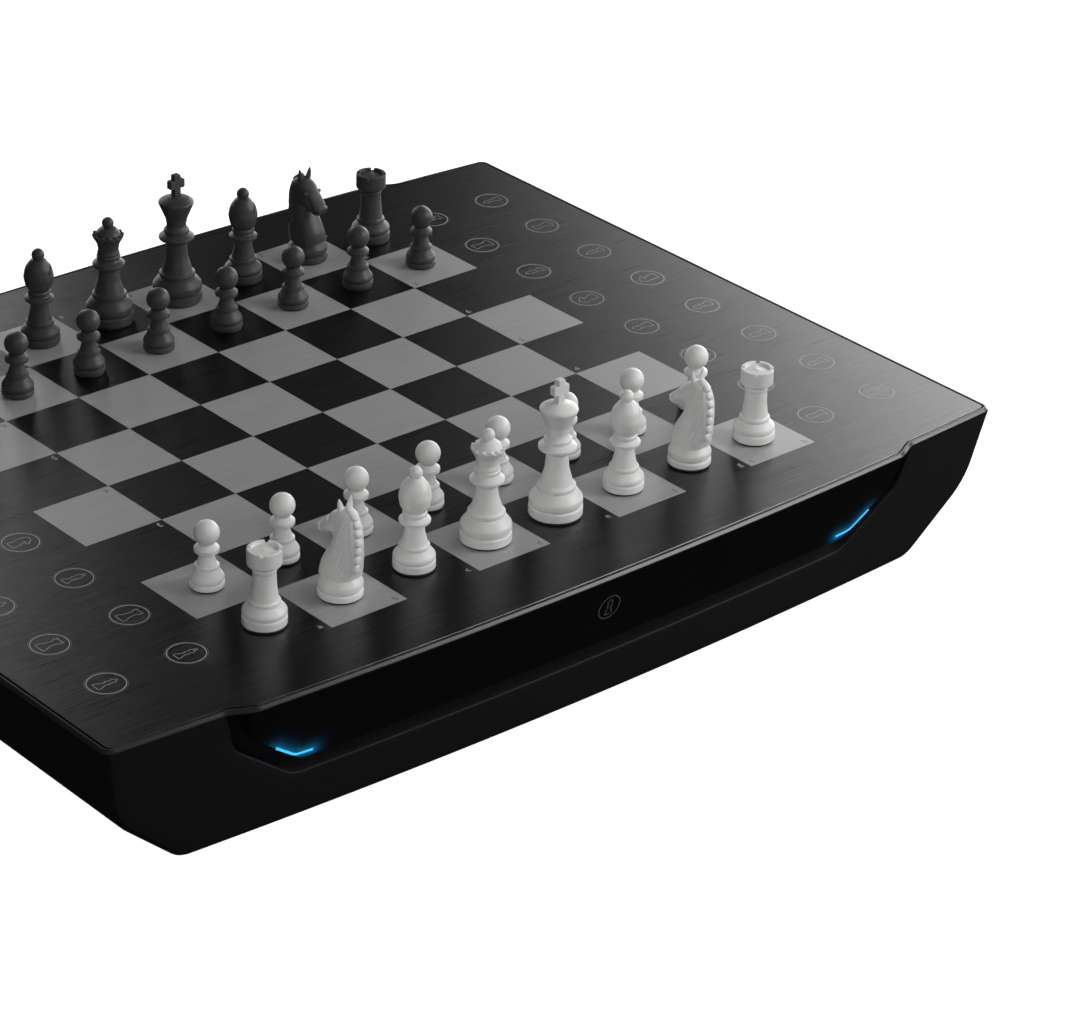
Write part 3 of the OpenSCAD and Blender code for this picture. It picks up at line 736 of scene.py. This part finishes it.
# %% Knight loft
CREST = np.array([(-8.5, 10.4), (-10.0, 15.5), (-11.0, 22.0), (-11.3, 28.0), (-10.6, 34.0),
                  (-8.6, 38.6), (-5.0, 40.6), (-1.5, 40.2), (1.5, 38.6), (4.5, 36.0), (7.5, 33.0),
                  (10.0, 30.8), (11.6, 29.2)])
THROAT = np.array([(8.6, 10.4), (7.8, 15.0), (5.8, 19.0), (3.6, 22.5), (2.0, 25.2), (1.6, 27.0),
                   (2.6, 28.0), (4.0, 27.4), (5.6, 26.2), (7.2, 25.4), (9.0, 25.2), (10.4, 25.9),
                   (11.2, 27.2)])
THICK = np.array([8.0, 7.3, 6.5, 5.8, 5.3, 5.0, 4.9, 4.9, 4.8, 4.4, 4.0, 3.7, 3.0])


def smooth_path(points, count):
    """A Catmull-Rom curve through the points, taken at equal steps of its parameter."""
    p = np.vstack([2 * points[:1] - points[1:2], points, 2 * points[-1:] - points[-2:-1]])
    s = np.linspace(0, len(points) - 1.000001, count)
    k, t = s.astype(int), (s % 1)[:, None]
    a, b, c, d = p[k], p[k + 1], p[k + 2], p[k + 3]
    square_term, cubic_term = 2 * a - 5 * b + 4 * c - d, 3 * b - a - 3 * c + d
    return 0.5 * (2 * b + (c - a) * t + square_term * t ** 2 + cubic_term * t ** 3)


def valley(y, z, line, width, depth):
    """How far a groove along this line presses in: a bell of the distance to it."""
    shape = y.shape
    away = distance_to_path(np.stack([y.ravel(), z.ravel()], axis=-1), np.array(line, float)).reshape(shape)
    return depth * np.exp(-(away / width) ** 2)


EYE = [(3.2, 34.9), (3.3, 34.9)]
MANE = [[(-8.0 - 0.3 * k, 39.5 - 1.7 * k), (-5.6 - 0.75 * k, 31.0 - 1.9 * k),
         (-3.0 - 0.95 * k, 22.0 - 1.4 * k)]
        for k in range(7)]


def knight_head():
    """Loft of superellipse sections between crest and throat, with the details pressed into both sides."""
    rows, count = 170, 110
    crest, throat = smooth_path(CREST, rows), smooth_path(THROAT, rows)
    thick = smooth_path(np.c_[THICK, THICK], rows)[:, 0]
    a = np.arange(count) * 2 * math.pi / count
    middle, reach = (crest + throat) / 2, (crest - throat) / 2
    ca, sa = np.cos(a), np.sin(a)
    along = np.sign(ca) * np.abs(ca) ** 0.75
    side = np.sign(sa) * np.abs(sa) ** 0.85
    yz = middle[:, None] + reach[:, None] * along[None, :, None]
    x = thick[:, None] * side[None]
    y, z = yz[..., 0], yz[..., 1]
    press = valley(y, z, [(8.0, 26.9), (11.4, 28.3)], 0.35, 0.9)
    press += valley(y, z, [(10.1, 29.9), (10.4, 29.8)], 0.5, 1.0)
    press += valley(y, z, EYE, 1.7, 1.3) - valley(y, z, EYE, 0.9, 2.0)
    press -= valley(y, z, [(1.6, 31.4), (3.2, 29.8)], 2.6, 0.9)
    press += valley(y, z, [(5.4, 32.6), (8.4, 29.0)], 1.0, 0.5)
    for groove_line in MANE:
        press += valley(y, z, groove_line, 0.34, 0.75)
    x = x - np.sign(x) * np.minimum(press, np.abs(x) * 0.8)
    P = np.stack([x, y, z], axis=-1)
    return grid_part(P, pole_start=P[0].mean(axis=0), pole_end=P[-1].mean(axis=0))


def horn(base, tip, radius, flat=0.6, rows=14, count=24):
    """An ear: a tapering, slightly bent cone from base to tip, flattened across."""
    base, tip = np.array(base, float), np.array(tip, float)
    s = np.linspace(0, 1, rows)[:, None, None]
    a = (np.arange(count) * 2 * math.pi / count)[None, :, None]
    width = radius * (1 - s) ** 0.75 * (1 + 0.5 * s)
    centre = base + (tip - base) * s + np.array([0, 0.9, 0]) * (s * (1 - s))
    P = centre + width * (np.cos(a) * np.array([1.0, 0, 0]) + np.sin(a) * flat * np.array([0, 1.0, 0.3]))
    return grid_part(P[:-1], pole_start=base, pole_end=tip)


def lump(centre, half, tilt=0.0):
    """One plait of the mane: a rounded block turned in the side view."""
    points, faces = block((0, 0, 0), half, sharp=0.75, rows=14, count=28)
    c, s = math.cos(math.radians(tilt)), math.sin(math.radians(tilt))
    return points @ np.array([[1, 0, 0], [0, c, s], [0, -s, c]]) + np.array(centre), faces


def knight_parts():
    body = spun(profile_of("knight"))
    parts = [grid_part(body, pole_start=(0, 0, 0.8), pole_end=(0, 0, 10.6)), knight_head()]
    crest = smooth_path(CREST, 150)
    for k in range(8):
        y, z = crest[14 + 8 * k]
        parts.append(lump((0, y + 0.6, z - 0.2), (1.8, 2.1, 1.5), tilt=84 - 8 * k))
    for side in (-1, 1):
        parts.append(horn((side * 1.9, -2.8, 39.4), (side * 3.1, -2.6, 45.4), 1.7))
        parts.append(lump((side * 4.1, 3.25, 34.9), (0.9, 0.8, 0.8)))
    return parts


print("knight ready")

# %% [markdown]
# ## Setting the pieces up
# Every piece stands where its CAD node stands. White's knights look towards Black and Black's towards
# White, so Black's knights are turned by half a turn. The felt pad under each piece is a mesh of its own.

# %% All 32 pieces
def kind_parts(kind):
    if kind == "king":
        return king_parts()
    if kind == "knight":
        return knight_parts()
    if kind in ("rook", "bishop", "queen"):
        P = {"rook": rook_body, "bishop": bishop_body, "queen": queen_body}[kind]()
    else:
        P = spun(profile_of(kind))
    return [grid_part(P, pole_start=(0, 0, 0.8), pole_end=(0, 0, P[-1, 0, 2] + 0.02))]


def felt_pad(radius):
    """A pad with a softly rounded edge, as a short spun profile."""
    corners = [(radius - 0.5, 0.02, 0.1), (radius, 0.02, 0.25), (radius, 0.78, 0.2), (radius - 0.5, 0.79, 0)]
    P = spun(rounded([c[:2] for c in corners], [c[2] for c in corners], steps=3), 64)
    return grid_part(P, pole_start=(0, 0, 0.02), pole_end=(0, 0, 0.79))


PARTS = {kind: kind_parts(kind) for kind in PROFILES}
for node in [n for n in sorted(frame["nodes"]) if n.split("_")[0] in ("white", "black")]:
    colour, kind = node.split("_")[:2]
    x, y = middle(node)[:2]
    x, y = round(x / square * 2) / 2 * square, round(y / square * 2) / 2 * square
    place, turn = (x, y, plate_top), 180 if colour == "black" and kind == "knight" else 0
    material = ivory_white if colour == "white" else ebony_black
    piece(node + "_body", [moved(p, place, turn) for p in PARTS[kind]], material, node, smooth=48, node=node)
    piece(node + "_felt", [moved(felt_pad(PROFILES[kind][1][0] - 0.4), place)], felt_green, node)
print("pieces set up:", len(PARTS), "kinds")

# %% [markdown]
# ## Printed marks
# Beside the squares are two columns of rings a side where captured pieces are parked. Each ring holds the
# outline of its piece, lying on its side, made from the same profile as the piece itself. Small letters
# and figures name the files and ranks, once for each player.

# %% Parking marks
def icon(kind):
    """The profile's outline, both halves joined and centred on its height."""
    if kind == "knight":
        outline = np.vstack([smooth_path(CREST, 40), smooth_path(THROAT, 40)[::-1]])
        base = np.array([(8.6, 9.0), (9.6, 6.0), (9.6, 1.0), (-9.6, 1.0), (-9.6, 6.0), (-8.6, 9.0)])
        outline = np.vstack([outline, base])
    else:
        half = np.array([c[:2] for c in PROFILES[kind]])
        if kind in FINIALS:
            half = np.vstack([half, ball(*FINIALS[kind], rows=9)])
        if kind == "king":
            half = np.vstack([half[:-2], [(1.6, 52.5), (1.6, 55.5), (4.2, 55.5), (4.2, 59.5), (1.6, 59.5),
                                          (1.6, 62), (0, 62)]])
        outline = np.vstack([half, half[::-1] * [-1, 1]])
    return outline - (0, (outline[:, 1].min() + outline[:, 1].max()) / 2)


def parked(kind, x, y, turn):
    """A ring, and the icon scaled into the ring and laid on its side."""
    outline = icon(kind)
    scale = 10.2 / np.ptp(outline[:, 1])
    flat = evenly(np.vstack([outline, outline[:1]]) * scale, 120)[:-1]
    place = (x, y, plate_top - 0.005)
    ring = band(circle(7.75), 0.30, 0.02, closed=True)
    return moved(band(flat, 0.22, 0.02, closed=True), place, turn), moved(ring, place)


ORDER = ["queen", "rook", "bishop", "knight", "pawn", "pawn", "pawn", "pawn"]
drawn, ringed, faint = [], [], []
for side in (1, -1):
    for column, far in ((4.5, "king"), (5.5, "queen")):
        for row, kind in enumerate([far] + ORDER[1:]):
            x, y = side * column * square, side * (3.5 - row) * square
            outline_part, ring_part = parked(kind, x, y, 90 if side > 0 else -90)
            drawn.append(outline_part)
            ringed.append(ring_part)
            faint.append(moved(band(circle(8.5), 0.18, 0.02, True), (x, y, plate_top - 0.005)))
piece("parking_rings", ringed + drawn, print_light, "board")
piece("parking_halos", faint, print_faint, "board")
print("rings", len(ringed))

# %% Letters and figures
def glyph(text, height):
    """The built-in font's outline as a flat mesh, centred, with its cap height in millimetres."""
    curve = bpy.data.curves.new("glyph_" + text, "FONT")
    curve.body = text
    curve.resolution_u = 3
    curve.extrude = 0.004
    made = bpy.data.objects.new("glyph_" + text, curve)
    bpy.context.scene.collection.objects.link(made)
    bpy.context.view_layer.update()
    mesh = bpy.data.meshes.new_from_object(made.evaluated_get(bpy.context.evaluated_depsgraph_get()))
    points = np.empty(len(mesh.vertices) * 3)
    mesh.vertices.foreach_get("co", points)
    points = points.reshape(-1, 3)
    faces = [list(p.vertices) for p in mesh.polygons]
    bpy.data.objects.remove(made)
    low, high = points.min(axis=0), points.max(axis=0)
    points = (points - (low + high) / 2) * [height / 0.7, height / 0.7, 1]
    return points, faces


corner_in = 15.6                            # from a square's middle to the mark in its corner
light_glyphs, dark_glyphs = [], []
for player in (1, -1):
    for k in range(8):
        for text, file, rank, dx, dy in (("abcdefgh"[k], k, 0, corner_in, -corner_in),
                                         ("12345678"[k], 7, k, -corner_in, -corner_in)):
            if player < 0:
                file, rank, text = 7 - file, 7 - rank, ("hgfedcba" if dx > 0 else "87654321")[k]
            x, y = square_middle(file, rank)
            on_light = (file + rank) % 2
            placed = moved(glyph(text, 3.4), (x + player * dx, y + player * dy, plate_top + 0.035),
                           0 if player > 0 else 180)
            (dark_glyphs if on_light else light_glyphs).append(placed)
piece("coordinates_light", light_glyphs, print_light, "board")
piece("coordinates_dark", dark_glyphs, print_dark, "board")

# %% A generic mark on the front panel
pawn = icon("pawn") * (7.2 / np.ptp(icon("pawn")[:, 1]))
mark = [band(circle(5.6), 0.5, 0.03, True),
        band(evenly(np.vstack([pawn, pawn[:1]]), 120)[:-1], 0.45, 0.03, closed=True)]
mark_centre = [5.0, 50.5, 0]
mark = [on_panel((points + mark_centre, faces)) for points, faces in mark]
piece("panel_mark", mark, print_panel, "board")
print("marks made")

# %% [markdown]
# ## Small fittings
# On the back are the power button and the charging socket, and underneath are four rubber feet. The parts
# inside keep their CAD shapes, and get finishes of their own.

# %% Fittings
def turned_along_y(outline, x, z):
    """A profile of radius and distance from the board's middle, spun round an axis along Y."""
    P = spun(np.array(outline, float), 64)
    return np.stack([P[..., 0] + x, P[..., 2], P[..., 1] + z], axis=-1)


button_low, button_high = span("power_button")
bx, bz = middle("power_button")[0], middle("power_button")[2]
deep = button_high[1]
cap = rounded([(1.4, button_low[1]), (1.4, deep - 5.3), (4.4, deep - 5.3), (4.5, deep - 0.2),
               (3.4, deep - 0.1), (0.05, deep - 0.9)], [0, 0.1, 0.3, 0.6, 0.5, 0], steps=5)
piece("button_cap", [grid_part(turned_along_y(cap, bx, bz), pole_start=(bx, button_low[1], bz),
                               pole_end=(bx, deep - 0.9, bz))],
      button_black, "power_button", node="power_button")

foot_radius, foot_x, foot_y = 9.0, 165, 135
foot_turning = rounded([(foot_radius - 0.6, 0.0), (foot_radius, 0.5), (foot_radius, foot_height - 0.02),
                        (foot_radius - 1, foot_height - 0.01)], [0, 0.6, 0, 0], steps=5)
foot_pad = grid_part(spun(foot_turning, 64), pole_start=(0, 0, 0.25), pole_end=(0, 0, foot_height - 0.01))
feet = [moved(foot_pad, (x, y, 0)) for x in (-foot_x, foot_x) for y in (-foot_y, foot_y)]
piece("foot_pads", feet, rubber_black, "board", node="rubber_feet")

INNER = {
    "circuit_board": finish("board_green", (0.015, 0.10, 0.045), 0.35, grain=700, variation=0.3, coat=0.3),
    "battery_wrap": finish("wrap_blue", (0.03, 0.08, 0.25), 0.3, grain=120, coat=0.2),
    "steel": finish("steel_ground", (0.55, 0.55, 0.56), 0.28, metallic=1.0, grain=300, stretch=(1, 8, 8)),
    "gantry_plastic": finish("gantry_black", (0.04, 0.04, 0.043), 0.5, grain=1400, bump=0.12),
    "bronze": finish("bronze_sintered", (0.45, 0.29, 0.12), 0.45, metallic=1.0, grain=1500, variation=0.3),
    "coil_copper": finish("copper_winding", (0.50, 0.22, 0.10), 0.35, metallic=1.0, grain=80,
                          stretch=(1, 1, 30)),
    "motor_black": finish("motor_paint", (0.02, 0.02, 0.022), 0.4, grain=900, bump=0.1),
    "pulley_aluminium": finish("pulley_turned", (0.62, 0.62, 0.63), 0.3, metallic=1.0, grain=200,
                               stretch=(1, 1, 12)),
    "belt_rubber": finish("belt_black", (0.012, 0.012, 0.012), 0.75, grain=1600, bump=0.3),
}
for part in frame["record"]["subparts"]:
    if part["material_slot"] in INNER:
        node = frame["nodes"][part["node"]]
        node.data.materials.clear()
        node.data.materials.append(INNER[part["material_slot"]])
print("inner finishes", len(INNER))

# %% [markdown]
# ## Floor, camera and light
# The floor is a plain pale sheet. The camera stands low on the white side, to the left, with a long lens.
# The plate is a satin mirror, so what it shows depends on where the soft boxes stand: they are placed
# along the line of sight after it has bounced off the plate, one on each side of that line with a dark
# gap between them.

# %% Floor
def flat_sheet(name, centre, across, along, material):
    """A rectangle of 2 x 2 points spanned by two half-side vectors."""
    c, u, w = np.array(centre, float), np.array(across, float), np.array(along, float)
    mesh = bpy.data.meshes.new(name)
    corners = [tuple(c - u - w), tuple(c + u - w), tuple(c + u + w), tuple(c - u + w)]
    mesh.from_pydata(corners, [], [(0, 1, 2, 3)])
    mesh.materials.append(material)
    made = bpy.data.objects.new(name, mesh)
    bpy.context.scene.collection.objects.link(made)
    return made


floor_pale = finish("floor_pale", (0.5, 0.5, 0.5), 0.9, grain=4, variation=0.01, bump=0)
floor_pale.node_tree.nodes["Principled BSDF"].inputs["Emission Color"].default_value = (1, 1, 1, 1)
floor_pale.node_tree.nodes["Principled BSDF"].inputs["Emission Strength"].default_value = 0.95
floor = flat_sheet("floor", (0, 0, -0.0002), (12, 0, 0), (0, 12, 0), floor_pale)
floor.visible_glossy = False
floor.visible_diffuse = False

# %% Camera
def placed_at(place, side, top, back):
    """The matrix whose columns are a thing's own X, Y and Z directions and its place."""
    return Matrix(np.vstack([np.stack([side, top, back, place], axis=-1), (0, 0, 0, 1)]).tolist())


azimuth, elevation, roll = (math.radians(a) for a in (-41.65, 27.928, 1.937))
target = np.array([0.01193, -0.12734, 0.068])
distance = 1.63381
towards = np.array([math.sin(azimuth) * math.cos(elevation), -math.cos(azimuth) * math.cos(elevation),
                    math.sin(elevation)])
level = np.cross((0, 0, 1), towards)
level /= np.linalg.norm(level)
upright = np.cross(towards, level)
right = math.cos(roll) * level + math.sin(roll) * upright
up = -math.sin(roll) * level + math.cos(roll) * upright

lens = bpy.data.cameras.new("camera")
lens.sensor_width, lens.lens, lens.clip_end = 36, 132.18, 60
camera = bpy.data.objects.new("camera", lens)
bpy.context.scene.collection.objects.link(camera)
place = target + towards * distance
camera.matrix_world = placed_at(place, right, up, towards)
bpy.context.scene.camera = camera
bpy.context.scene.view_settings.view_transform = "Standard"
print("camera at", place.round(3))

# %% Lights
def soft_box(name, at, aim, width, height, power, glossy=True, tilt=0.0):
    """A rectangular area light at a point, turned to face another point and tilted about that line in
    degrees."""
    data = bpy.data.lights.new(name, "AREA")
    data.shape, data.size, data.size_y, data.energy = "RECTANGLE", width, height, power
    made = bpy.data.objects.new(name, data)
    bpy.context.scene.collection.objects.link(made)
    at, aim = np.array(at, float), np.array(aim, float)
    back = (at - aim) / np.linalg.norm(at - aim)
    flat = np.cross((0, 0, 1), back)
    flat /= np.linalg.norm(flat)
    rise = np.cross(back, flat)
    c, s = math.cos(math.radians(tilt)), math.sin(math.radians(tilt))
    made.matrix_world = placed_at(at, c * flat + s * rise, c * rise - s * flat, back)
    made.visible_camera = False
    made.visible_glossy = glossy
    return made


bounced = np.array([-towards[0], -towards[1], towards[2]])
bounced_up = np.cross(level, bounced)
board_middle = np.array([0, 0, plate_top * MM])
box_distance = 0.95
mirrored = board_middle + bounced * box_distance
soft_box("box_right", mirrored + level * 0.56 - bounced_up * 0.48, board_middle, 1.0, 1.3, 16, tilt=40)
soft_box("box_left", mirrored - level * 0.57 - bounced_up * 0.24, board_middle, 0.60, 0.8, 3.5, tilt=-19)
soft_box("top", (0.5, -0.1, 1.6), board_middle, 1.2, 1.2, 3, glossy=False)
soft_box("key", (1.0, -0.9, 0.75), board_middle, 0.7, 0.7, 12)
soft_box("fill", (-1.2, -1.5, 0.9), board_middle, 1.0, 1.0, 12, glossy=False)

world = bpy.data.worlds.new("studio")
world.use_nodes = True
world.node_tree.nodes["Background"].inputs["Color"].default_value = (0.02, 0.02, 0.02, 1)
bpy.context.scene.world = world
print("lights ready")
